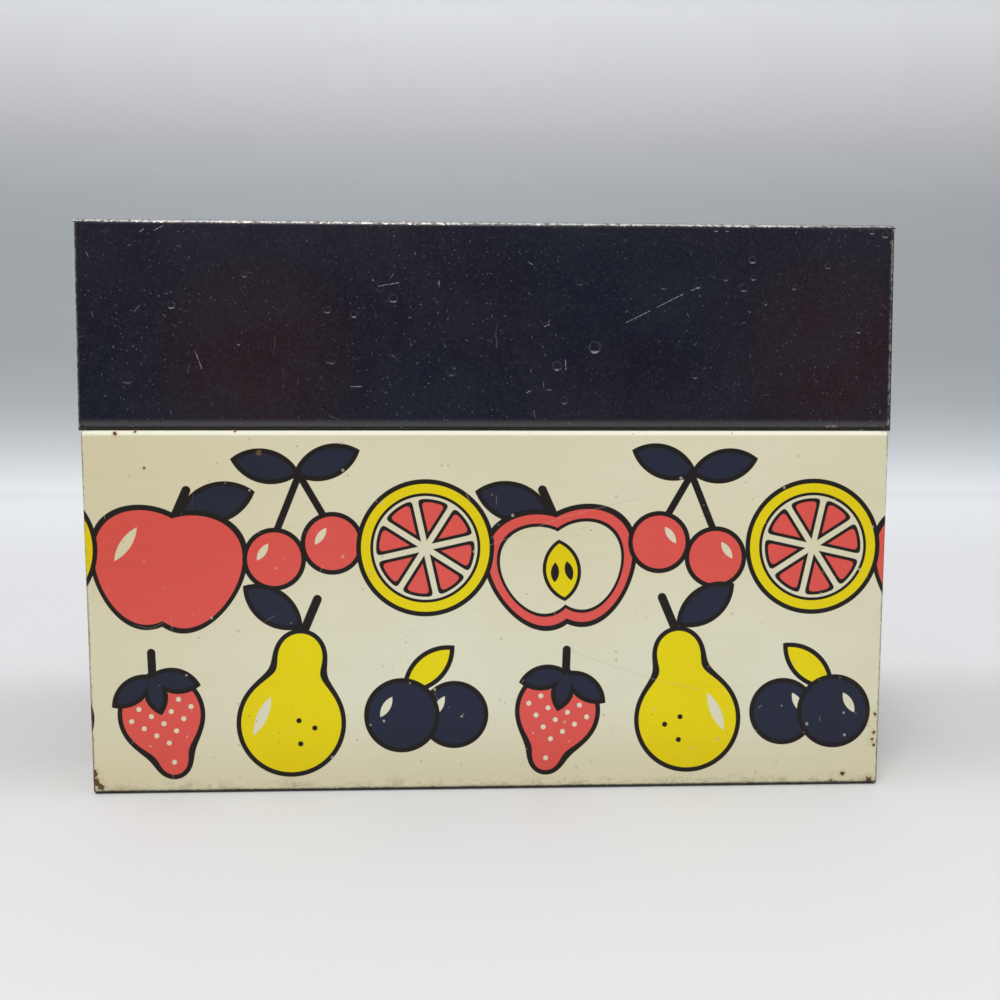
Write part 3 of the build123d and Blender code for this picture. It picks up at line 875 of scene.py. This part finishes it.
    # Painted shadow and dirt: a dark ragged line along the lowest fold.
    base_shadow_and_grime = tree.ramp(tree.sum("MULTIPLY_ADD", ragged, 0.5, z), 1.05, 0.7)
    colour = tree.mix(tree.sum("MULTIPLY", base_shadow_and_grime, 0.92), colour, shade(30, 27, 22))
    tree.join(colour, shader["Base Color"])
    tree.join(tree.sum("MULTIPLY", edge, 0.25), shader["Metallic"])
    gloss = tree.ramp(tree.noise(place, 0.2, 3.0), 0.3, 0.7, 0.28, 0.38)
    gloss = tree.sum("MAXIMUM", gloss, tree.sum("MULTIPLY", tree.sum("MAXIMUM", edge, stain), 0.7))
    tree.join(tree.sum("MULTIPLY_ADD", painted_shoulder_highlight, -0.15, gloss), shader["Roughness"])
    shader["Specular IOR Level"].default_value = 0.16
    ripple = tree.sum("MULTIPLY", tree.noise(place, 0.035, 2.0), 0.25)
    grain = tree.sum("MULTIPLY", tree.noise(place, 1.8, 2.0), 0.008)
    height = tree.sum("ADD", ripple, grain)
    height = tree.sum("MULTIPLY_ADD", edge, -0.03, height)
    bump = tree.add("Bump")
    bump.inputs["Strength"].default_value = 0.5
    bump.inputs["Distance"].default_value = mm
    tree.join(height, bump.inputs["Height"])
    tree.join(bump.outputs[0], shader["Normal"])
    print(name, "nodes:", len(material.node_tree.nodes))
    return material


end_top_mm = (seam - LEDGE_GAP - SHEET) / mm
base_spread = body_half / (body_half - BODY_TAPER)
printed_wrap = print_on_tin("printed tin wrap", "x")
printed_end = print_on_tin("printed tin end", "y")

# %% [markdown]
# ## Bare tin, raw edges and wire
# Inside, the sheet is unpainted tinplate, grey and silky with a faint rolling grain. Its cut
# edges are darker and a little rusty. The wire is drawn steel.

# %% Bare tin inside
bare_tin, tree, shader, place = new_finish("bare tin")
rolled = tree.noise(tree.vector("MULTIPLY", place, (0.05, 2.0, 2.0)), 1.0, 3.0, 0.6)
cloud = tree.ramp(tree.noise(place, 0.05, 4.0, 0.6), 0.3, 0.7)
colour = tree.mix(rolled, shade(168, 167, 160), shade(192, 191, 186))
colour = tree.mix(tree.sum("MULTIPLY", cloud, 0.3), colour, shade(150, 142, 122))
scratch = tree.use(scratches, Place=place, Spacing=8.0, Length=3.0, Width=0.07, Share=0.5)["Scratch"]
colour = tree.mix(tree.sum("MULTIPLY", scratch, 0.5), colour, shade(214, 213, 210))
rusty = tree.use(specks, Place=place, Spacing=6.0, Size=0.3, Share=0.25)["Speck"]
colour = tree.mix(tree.sum("MULTIPLY", rusty, 0.6), colour, shade(110, 76, 50))
tree.join(colour, shader["Base Color"])
tree.join(tree.sum("MULTIPLY_ADD", rusty, -0.6, 0.9), shader["Metallic"])
tree.join(tree.ramp(tree.sum("ADD", cloud, rolled), 0.4, 1.4, 0.3, 0.46), shader["Roughness"])
bump = tree.add("Bump")
bump.inputs["Strength"].default_value = 0.4
bump.inputs["Distance"].default_value = mm
tree.join(tree.sum("MULTIPLY", rolled, 0.01), bump.inputs["Height"])
tree.join(bump.outputs[0], shader["Normal"])

# %% Raw edges
raw_edge, tree, shader, place = new_finish("raw edge")
spots = tree.ramp(tree.noise(place, 0.9, 4.0, 0.7), 0.42, 0.58)
colour = tree.mix(spots, shade(58, 50, 44), shade(112, 106, 98))
tree.join(colour, shader["Base Color"])
tree.join(tree.ramp(spots, 0.0, 1.0, 0.2, 0.8), shader["Metallic"])
tree.join(tree.ramp(spots, 0.0, 1.0, 0.75, 0.45), shader["Roughness"])

# %% Steel wire
steel_wire, tree, shader, place = new_finish("steel wire")
drawn = tree.noise(tree.vector("MULTIPLY", place, (0.3, 4.0, 4.0)), 1.0, 3.0, 0.6)
colour = tree.mix(drawn, shade(120, 118, 114), shade(170, 168, 162))
brown = tree.ramp(tree.noise(place, 0.35, 4.0, 0.7), 0.52, 0.68)
colour = tree.mix(tree.sum("MULTIPLY", brown, 0.6), colour, shade(92, 66, 46))
tree.join(colour, shader["Base Color"])
tree.join(tree.sum("MULTIPLY_ADD", brown, -0.5, 0.95), shader["Metallic"])
tree.join(tree.ramp(drawn, 0.3, 0.7, 0.3, 0.45), shader["Roughness"])
print("finishes:", [m.name for m in bpy.data.materials if m.use_nodes][-6:])

# %% [markdown]
# ## The lid's wrap
# One sheet makes the front, the top and the back of the lid. It could be a thin box with holes
# cut in it, but folding an open sheet keeps its thickness even and gives real hems and rolls.

# %% Fold the lid's wrap
lid_edge = seam + HEM_RADIUS
flap_low = seam + FLAP_RISE
flap_edge = flap_low + HEM_RADIUS
hem_half = flap_half - HEM_SETBACK
lid_wrap = start_sheet(
    "lid_sheet", (-top_half, lid_front, flap_edge), (top_half, lid_back, top)
)
remove_faces(lambda p, n: abs(n.x) > 0.5 or n.z < -0.5)
pick("EDGE", lambda p, d: near(p.z, top) and abs(d.x) > 0.5)
round_edges(FOLD)
lip = top - TOP_LIP
cut(lambda p, n: True, 2, lip)
cut(lambda p, n: p.z < lip, 0, flap_half, -flap_half)
remove_faces(lambda p, n: p.z < lip and abs(p.x) > flap_half)


def lid_back_face(p, n):
    return n.y > 0.9999


def lid_front_face(p, n):
    return n.y < -0.9999


roll_ends = (
    roll_half,
    loop_outer + LOOP_GAP,
    loop_inner - LOOP_GAP,
)
cut(lid_back_face, 0, *roll_ends, *(-x for x in roll_ends))
notch_top = axis_z + roll_outside + LOOP_GAP
relief_top = axis_z + RELIEF_RISE
cut(lid_back_face, 2, axis_z, relief_top, notch_top)


def over_loop(x):
    """True between the ends of a body loop and its gaps."""
    return loop_inner - LOOP_GAP < abs(x) < loop_outer + LOOP_GAP


remove_faces(lambda p, n: n.y > 0.9 and p.z < axis_z)
remove_faces(lambda p, n: n.y > 0.9 and p.z < notch_top and over_loop(p.x))
remove_faces(lambda p, n: n.y > 0.9 and p.z < relief_top and abs(p.x) > roll_half)
pick("EDGE", lambda p, d: near(p.z, axis_z) and near(p.y, lid_back) and abs(d.x) > 0.5)
fold(-ROLL_DEGREES, (0, axis_y, axis_z), steps=28)

cut(lid_front_face, 0, hem_half, -hem_half)
lean = ((1.35, 0.0), (0.9, 0.02), (0.5, 0.07), (0.2, 0.14), (0.0, 0.2))
cut(lid_front_face, 2, *(flap_edge + rise * mm for rise, inward in lean[:-1]))
for rise, inward in lean[1:]:
    height = flap_edge + rise * mm
    pick("EDGE", lambda p, d: near(p.z, height) and p.y < 0 and abs(d.x) > 0.5)
    bpy.ops.transform.translate(value=(0, inward * mm, 0))
hem_front = lid_front + lean[-1][1] * mm
pick("EDGE", lambda p, d: near(p.z, flap_edge) and near(p.y, hem_front) and abs(p.x) < hem_half)
fold(180, (0, hem_front + HEM_RADIUS, flap_edge))
draw_out(z=HEM_DROP)


def tab_edge(p, d):
    return near(p.z, flap_edge) and near(p.y, hem_front) and abs(p.x) > hem_half and abs(d.x) > 0.5


pick("EDGE", tab_edge)
draw_out(z=-HEM_RADIUS)
for rise, inward in ((0.5, 0.08), (0.2, 0.2), (0.0, 0.34), (-0.45, 0.72)):
    for side in (1, -1):
        corner_point = (side * flap_half, flap_edge + rise * mm)
        pick("VERT", lambda p, d: p.y < 0 and near(p.x, corner_point[0]) and near(p.z, corner_point[1]))
        bpy.ops.transform.translate(value=(-side * inward * mm, 0, 0))
finish_sheet(lid_wrap, (0, 0, 2 * top), (lid_enamel, bare_tin, raw_edge))

# %% [markdown]
# ## The lid's ends
# Each end is a shallow pressed tray whose flanges lie behind the wrap. The lower edge carries a
# hem, and the rear corner is cut away so that it clears the body when the lid tips back.

# %% Press a lid end
bottom_of_lid_end = lid_end_low[2]


def press_lid_end(name, side):
    """One end of the lid, on the right for side 1 and on the left for side -1."""
    flange = lid_end_low[0]
    front = lid_end_low[1]
    back = lid_end_high[1]
    low = (flange, front, seam)
    high = (lid_half, back, lid_end_high[2])
    end = start_sheet(name, low, high)
    remove_faces(lambda p, n: n.x < -0.5 or n.z < -0.5)
    pick(
        "EDGE",
        lambda p, d: (near(p.x, lid_half) or near(p.z, high[2]))
        and not (near(p.x, flange) or near(p.z, seam)),
    )
    round_edges(CORNER)
    everything = lambda p, n: True
    hem_front = lid_front + END_HEM_SETBACK
    hem_back = lid_back - END_HEM_SETBACK
    relief = lid_back - RELIEF_LENGTH
    cut(everything, 2, lid_edge, flap_edge, relief_top)
    cut(lambda p, n: n.x > 0.9, 1, hem_front, hem_back, relief)
    remove_faces(lambda p, n: p.z < lid_edge and n.x > 0.9 and hem_front < p.y < hem_back)
    remove_faces(lambda p, n: p.z < flap_edge and n.y < -0.9)
    remove_faces(lambda p, n: p.z < relief_top and p.y > relief)
    pick(
        "EDGE",
        lambda p, d: near(p.z, lid_edge) and hem_front < p.y < hem_back and abs(d.y) > 0.5,
    )
    fold(-180, (lid_half - HEM_RADIUS, 0, lid_edge), axis=(0, -1, 0))
    draw_out(z=HEM_DROP)
    mirror_if_left(end, side)
    finish_sheet(end, (side * 2 * lid_half, 0, (seam + top) / 2), (lid_enamel, bare_tin, raw_edge))
    return end


def mirror_if_left(sheet, side):
    """A left end is the right one mirrored across the middle of the box."""
    if side < 0:
        bpy.ops.mesh.select_all(action="SELECT")
        bpy.ops.transform.mirror(
            constraint_axis=(True, False, False), center_override=(0, 0, 0)
        )


lid_right_end = press_lid_end("lid_end_right", 1)
lid_left_end = press_lid_end("lid_end_left", -1)

# %% [markdown]
# ## The body's wrap
# The front, the floor and the back are again one sheet. In front it steps in over a rounded
# shoulder to a neck that the lid slides over. Behind, two tongues roll over the hinge wire.

# %% Fold the body's wrap
neck_inset = 0.95 * mm
neck_half = lid_half - LID_OVERHANG - neck_inset
neck_sheet_half = neck_half - CORNER
neck_front = body_front + neck_inset
neck_edge = neck_top - HEM_RADIUS
ledge_top = seam - LEDGE_GAP
end_top = ledge_top - SHEET
shoulder_top = flap_low + SHOULDER_RISE
shoulder_turn = math.degrees(math.acos(1 - neck_inset / (CREASE + FOLD)))
shoulder_foot = shoulder_top - (CREASE + FOLD) * math.sin(math.radians(shoulder_turn))
BACK_FOLD = ledge_top - LEDGE_FOLD


def flank(height):
    """How far out the body's ends stand at a height: they lean in a little towards the base."""
    return lid_half - LID_OVERHANG - BODY_TAPER * (1 - height / end_top)


base_half = flank(0) - FLUSH_GAP
wrap_half = flank(end_top) - FLUSH_GAP
body_wrap = start_sheet(
    "body_sheet",
    (-wrap_half, body_front, 0),
    (wrap_half, body_back, BACK_FOLD),
)
remove_faces(lambda p, n: abs(n.x) > 0.5 or n.z > 0.5)
pick("EDGE", lambda p, d: near(p.z, 0) and abs(d.x) > 0.5)
bpy.ops.transform.resize(
    value=(base_half / wrap_half, 1, 1), center_override=(0, 0, 0)
)
round_edges(FOLD)

pick("EDGE", lambda p, d: near(p.z, BACK_FOLD) and near(p.y, body_front) and abs(d.x) > 0.5)
draw_out(z=shoulder_foot - BACK_FOLD)
fold(-shoulder_turn, (0, body_front + FOLD, shoulder_foot), steps=8)
fold(shoulder_turn, (0, neck_front - CREASE, shoulder_top), steps=4)
draw_out(z=neck_edge - shoulder_top)
for height, half in ((ledge_top, flap_half - LEDGE_GAP), (shoulder_top, neck_sheet_half)):
    cut(lambda p, n: p.z > BACK_FOLD and p.y < 0, 2, height)
    cut(lambda p, n: p.z > height and p.y < 0, 0, half, -half)
    remove_faces(lambda p, n: p.z > height and p.y < 0 and abs(p.x) > half)
neck_hem_half = neck_sheet_half - HEM_SETBACK
cut(lambda p, n: p.z > (shoulder_top + neck_edge) / 2, 0, neck_hem_half, -neck_hem_half)
pick("EDGE", lambda p, d: near(p.z, neck_edge) and abs(p.x) < neck_hem_half)
fold(-180, (0, neck_front + HEM_RADIUS, neck_edge))
draw_out(z=-HEM_DROP)

ledge_end = axis_y - wire_radius - 0.05 * mm + LEDGE_CREASE
pick("EDGE", lambda p, d: near(p.z, BACK_FOLD) and near(p.y, body_back) and abs(d.x) > 0.5)
fold(90, (0, body_back - LEDGE_FOLD, BACK_FOLD), steps=6)
draw_out(y=ledge_end - body_back + LEDGE_FOLD)
loop_ends = (loop_inner, loop_outer)
cut(
    lambda p, n: p.y > 0 and p.z > ledge_top - 0.05 * mm,
    0,
    *loop_ends,
    *(-x for x in loop_ends),
)
pick(
    "EDGE",
    lambda p, d: near(p.z, ledge_top)
    and near(p.y, ledge_end)
    and loop_inner < abs(p.x) < loop_outer
    and abs(d.x) > 0.5,
)
fold(-90, (0, ledge_end, ledge_top + LEDGE_CREASE), steps=4)
draw_out(z=axis_z - ledge_top - LEDGE_CREASE)
fold(-ROLL_DEGREES, (0, axis_y, axis_z), steps=28)
finish_sheet(body_wrap, (0, 0, -top), (printed_wrap, bare_tin, raw_edge))

# %% [markdown]
# ## The body's ends
# The same pressed tray as on the lid, but leaning in a little towards the base, with the shoulder
# and the neck along its upper edge.

# %% Press a body end


def press_body_end(name, side):
    """One end of the body, on the right for side 1 and on the left for side -1."""
    flange = body_end_low[0]
    front = body_end_low[1]
    back = body_end_high[1]
    outside = flank(end_top)
    end = start_sheet(name, (flange, front, SHEET), (outside, back, end_top))
    pick("EDGE", lambda p, d: near(p.z, SHEET) and near(p.x, outside))
    bpy.ops.transform.translate(value=(flank(SHEET) - outside, 0, 0))
    remove_faces(lambda p, n: n.x < -0.5)
    pick("EDGE", lambda p, d: not near(p.x, flange))
    round_edges(CORNER)
    remove_faces(lambda p, n: n.z > 0.999)
    rim_x = outside - CORNER
    rim_front = front + CORNER
    neck_back = body_back - 4.0 * mm
    cut(lambda p, n: p.z > end_top - 0.3 * mm, 1, neck_back)
    pick(
        "EDGE",
        lambda p, d: near(p.z, end_top)
        and p.y < neck_back
        and (near(p.x, rim_x, 0.01 * mm) or near(p.y, rim_front, 0.01 * mm)),
    )
    step = rim_x - neck_half
    draw_out(x=-step, y=step, z=0.05 * mm)
    draw_out(z=neck_edge - end_top - 0.05 * mm)
    rim_x -= step
    rim_front += step
    pick(
        "EDGE",
        lambda p, d: near(p.x, rim_x) and near(p.y, rim_front) and p.z > end_top + mm,
    )
    round_edges(CORNER)
    hem_front = neck_front + END_HEM_SETBACK
    hem_back = neck_back - END_HEM_SETBACK
    cut(lambda p, n: p.z > end_top + mm and abs(n.x) > 0.9, 1, hem_front, hem_back)
    pick(
        "EDGE",
        lambda p, d: near(p.z, neck_edge) and hem_front < p.y < hem_back and abs(d.y) > 0.5,
    )
    fold(180, (rim_x - HEM_RADIUS, 0, neck_edge), axis=(0, -1, 0))
    draw_out(z=-HEM_DROP)
    mirror_if_left(end, side)
    finish_sheet(end, (side * 2 * body_half, 0, shoulder_foot / 2), (printed_end, bare_tin, raw_edge))
    return end


body_right_end = press_body_end("body_end_right", 1)
body_left_end = press_body_end("body_end_left", -1)

# %% [markdown]
# ## The hinge wire

# %% Draw the hinge wire
bpy.ops.object.select_all(action="DESELECT")
bpy.ops.mesh.primitive_cylinder_add(
    vertices=24,
    radius=wire_radius,
    depth=2 * roll_half,
    location=(0, axis_y, axis_z),
    rotation=(0, math.radians(90), 0),
)
hinge_wire = bpy.context.object
hinge_wire.name = "hinge_wire"
bpy.ops.object.transform_apply(location=True, rotation=True, scale=True)
bpy.ops.object.mode_set(mode="EDIT")
pick("EDGE", lambda p, d: abs(p.x) > 0.999 * roll_half and abs(d.x) < 0.1)
round_edges(0.15 * mm, 3)
bpy.ops.object.mode_set(mode="OBJECT")
bpy.ops.object.shade_smooth_by_angle(angle=math.radians(35))

hinge_wire.data.materials.clear()
hinge_wire.data.materials.append(steel_wire)

# %% [markdown]
# ## Joining the pieces to the bodies
# The lid's three sheets swing with the lid. The wire stays with the body, as it is held in the
# body's loops.

# %% Ride and replace
for piece, node, part, finish in (
    (lid_wrap, "lid_wrap", "lid", "dark_enamel"),
    (lid_right_end, "lid_right_end", "lid", "dark_enamel"),
    (lid_left_end, "lid_left_end", "lid", "dark_enamel"),
    (body_wrap, "body_wrap", "body", "printed_tin"),
    (body_right_end, "body_right_end", "body", "printed_tin"),
    (body_left_end, "body_left_end", "body", "printed_tin"),
    (hinge_wire, "hinge_pin", "body", "hinge_wire"),
):
    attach(piece, part)
    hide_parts(node)
print("pieces:", 7)

# %% [markdown]
# ## The table and the backdrop
# A pale table runs back and sweeps up into a wall, as in a small photo studio. One sheet does
# both, so no line shows where they meet. The tent's light is painted into its colour: painted shade
# makes the wall darker halfway up and lighter above and below, the table is painted lighter
# towards the back, and a painted shadow of the box lies across it.

# %% Floor and backdrop
WALL_Y = 1.12
COVE = 0.12
floor = start_sheet("floor", (-2.6, -1.7, 0), (2.6, WALL_Y - COVE, 0.5))
remove_faces(lambda p, n: n.z > -0.5)
pick("EDGE", lambda p, d: near(p.y, WALL_Y - COVE) and abs(d.x) > 0.5)
fold(90, (0, WALL_Y - COVE, COVE), steps=16)
draw_out(z=1.6)
bpy.ops.mesh.select_all(action="SELECT")
bpy.ops.mesh.normals_make_consistent(inside=True)
bpy.ops.object.mode_set(mode="OBJECT")
bpy.ops.object.shade_smooth_by_angle(angle=math.radians(40))

table, tree, shader, place = new_finish("table and wall")
x, y, z = tree.parts(place)
# Painted shade: the wall is darker halfway up and lighter above and below.
wall = tree.add("ValToRGB", tree.sum("DIVIDE", z, 800.0))
stops = wall.color_ramp.elements
stops[0].position, stops[0].color = 0.0, shade(245, 247, 250)
stops[1].position, stops[1].color = 1.0, shade(240, 240, 242)
for position, grey in (
    (0.034, 227),
    (0.066, 211),
    (0.1, 198),
    (0.15, 186),
    (0.23, 175),
    (0.4, 175),
    (0.484, 181),
    (0.57, 194),
    (0.65, 213),
    (0.78, 238),
):
    stop = stops.new(position)
    cast = 4 if position < 0.5 else 1
    stop.color = shade(grey - cast, grey, grey + cast)
mottle = tree.noise(place, 0.02, 4.0, 0.6)
far = tree.ramp(y, 980.0, 1030.0)
# The table is painted lighter towards the back, and a painted shadow band lies across it where the box stands.
ground = tree.mix(tree.ramp(y, 60.0, 900.0), shade(204, 205, 207), shade(242, 244, 247))
painted_box_shadow = tree.sum("MULTIPLY", tree.ramp(y, -60.0, -20.0), tree.ramp(y, 60.0, 10.0))
ground = tree.mix(tree.sum("MULTIPLY", painted_box_shadow, 0.5), ground, shade(176, 176, 178))
colour = tree.mix(far, ground, wall.outputs[0])
colour = tree.mix(tree.sum("MULTIPLY", mottle, 0.05), colour, shade(190, 190, 190))
tree.join(colour, shader["Base Color"])
tree.join(tree.ramp(mottle, 0.3, 0.7, 0.55, 0.65), shader["Roughness"])
shader["Specular IOR Level"].default_value = 0.2
floor.data.materials.append(table)
print("floor faces:", len(floor.data.polygons))

# %% [markdown]
# ## Light and camera
# The sky is grey at eye level and bright overhead, as under the roof of a light tent, and one
# large lamp above the front adds a little direction. The camera stands a hand's breadth in
# front, level with the seam.

# %% Light
world = bpy.data.worlds.new("light tent")
bpy.context.scene.world = world
world.use_nodes = True
tree = Tree(world.node_tree)
rise = tree.parts(tree.add("TexCoord").outputs["Generated"])[2]
tent = tree.mix(tree.ramp(rise, 0.0, 1.0), shade(132, 134, 138), (1.25, 1.25, 1.25, 1))
tree.join(tent, world.node_tree.nodes["Background"].inputs["Color"])
bpy.ops.object.light_add(type="AREA", location=(-0.15, -0.65, 1.35))
lamp = bpy.context.object
lamp.data.energy = 11.5
lamp.data.size = 0.5
lamp.rotation_euler = (Vector((0, 0, 0.04)) - lamp.location).to_track_quat("-Z", "Y").to_euler()

# %% Camera
bpy.ops.object.camera_add(
    location=(-4.9 * mm, -213.5 * mm, 58.7 * mm),
    rotation=(math.radians(90 - 3.11), 0, math.radians(-2.2)),
)
camera = bpy.context.object
camera.data.sensor_width = 36
camera.data.lens = 36
camera.data.clip_start = 0.01
bpy.context.scene.camera = camera
bpy.context.scene.view_settings.view_transform = "Standard"
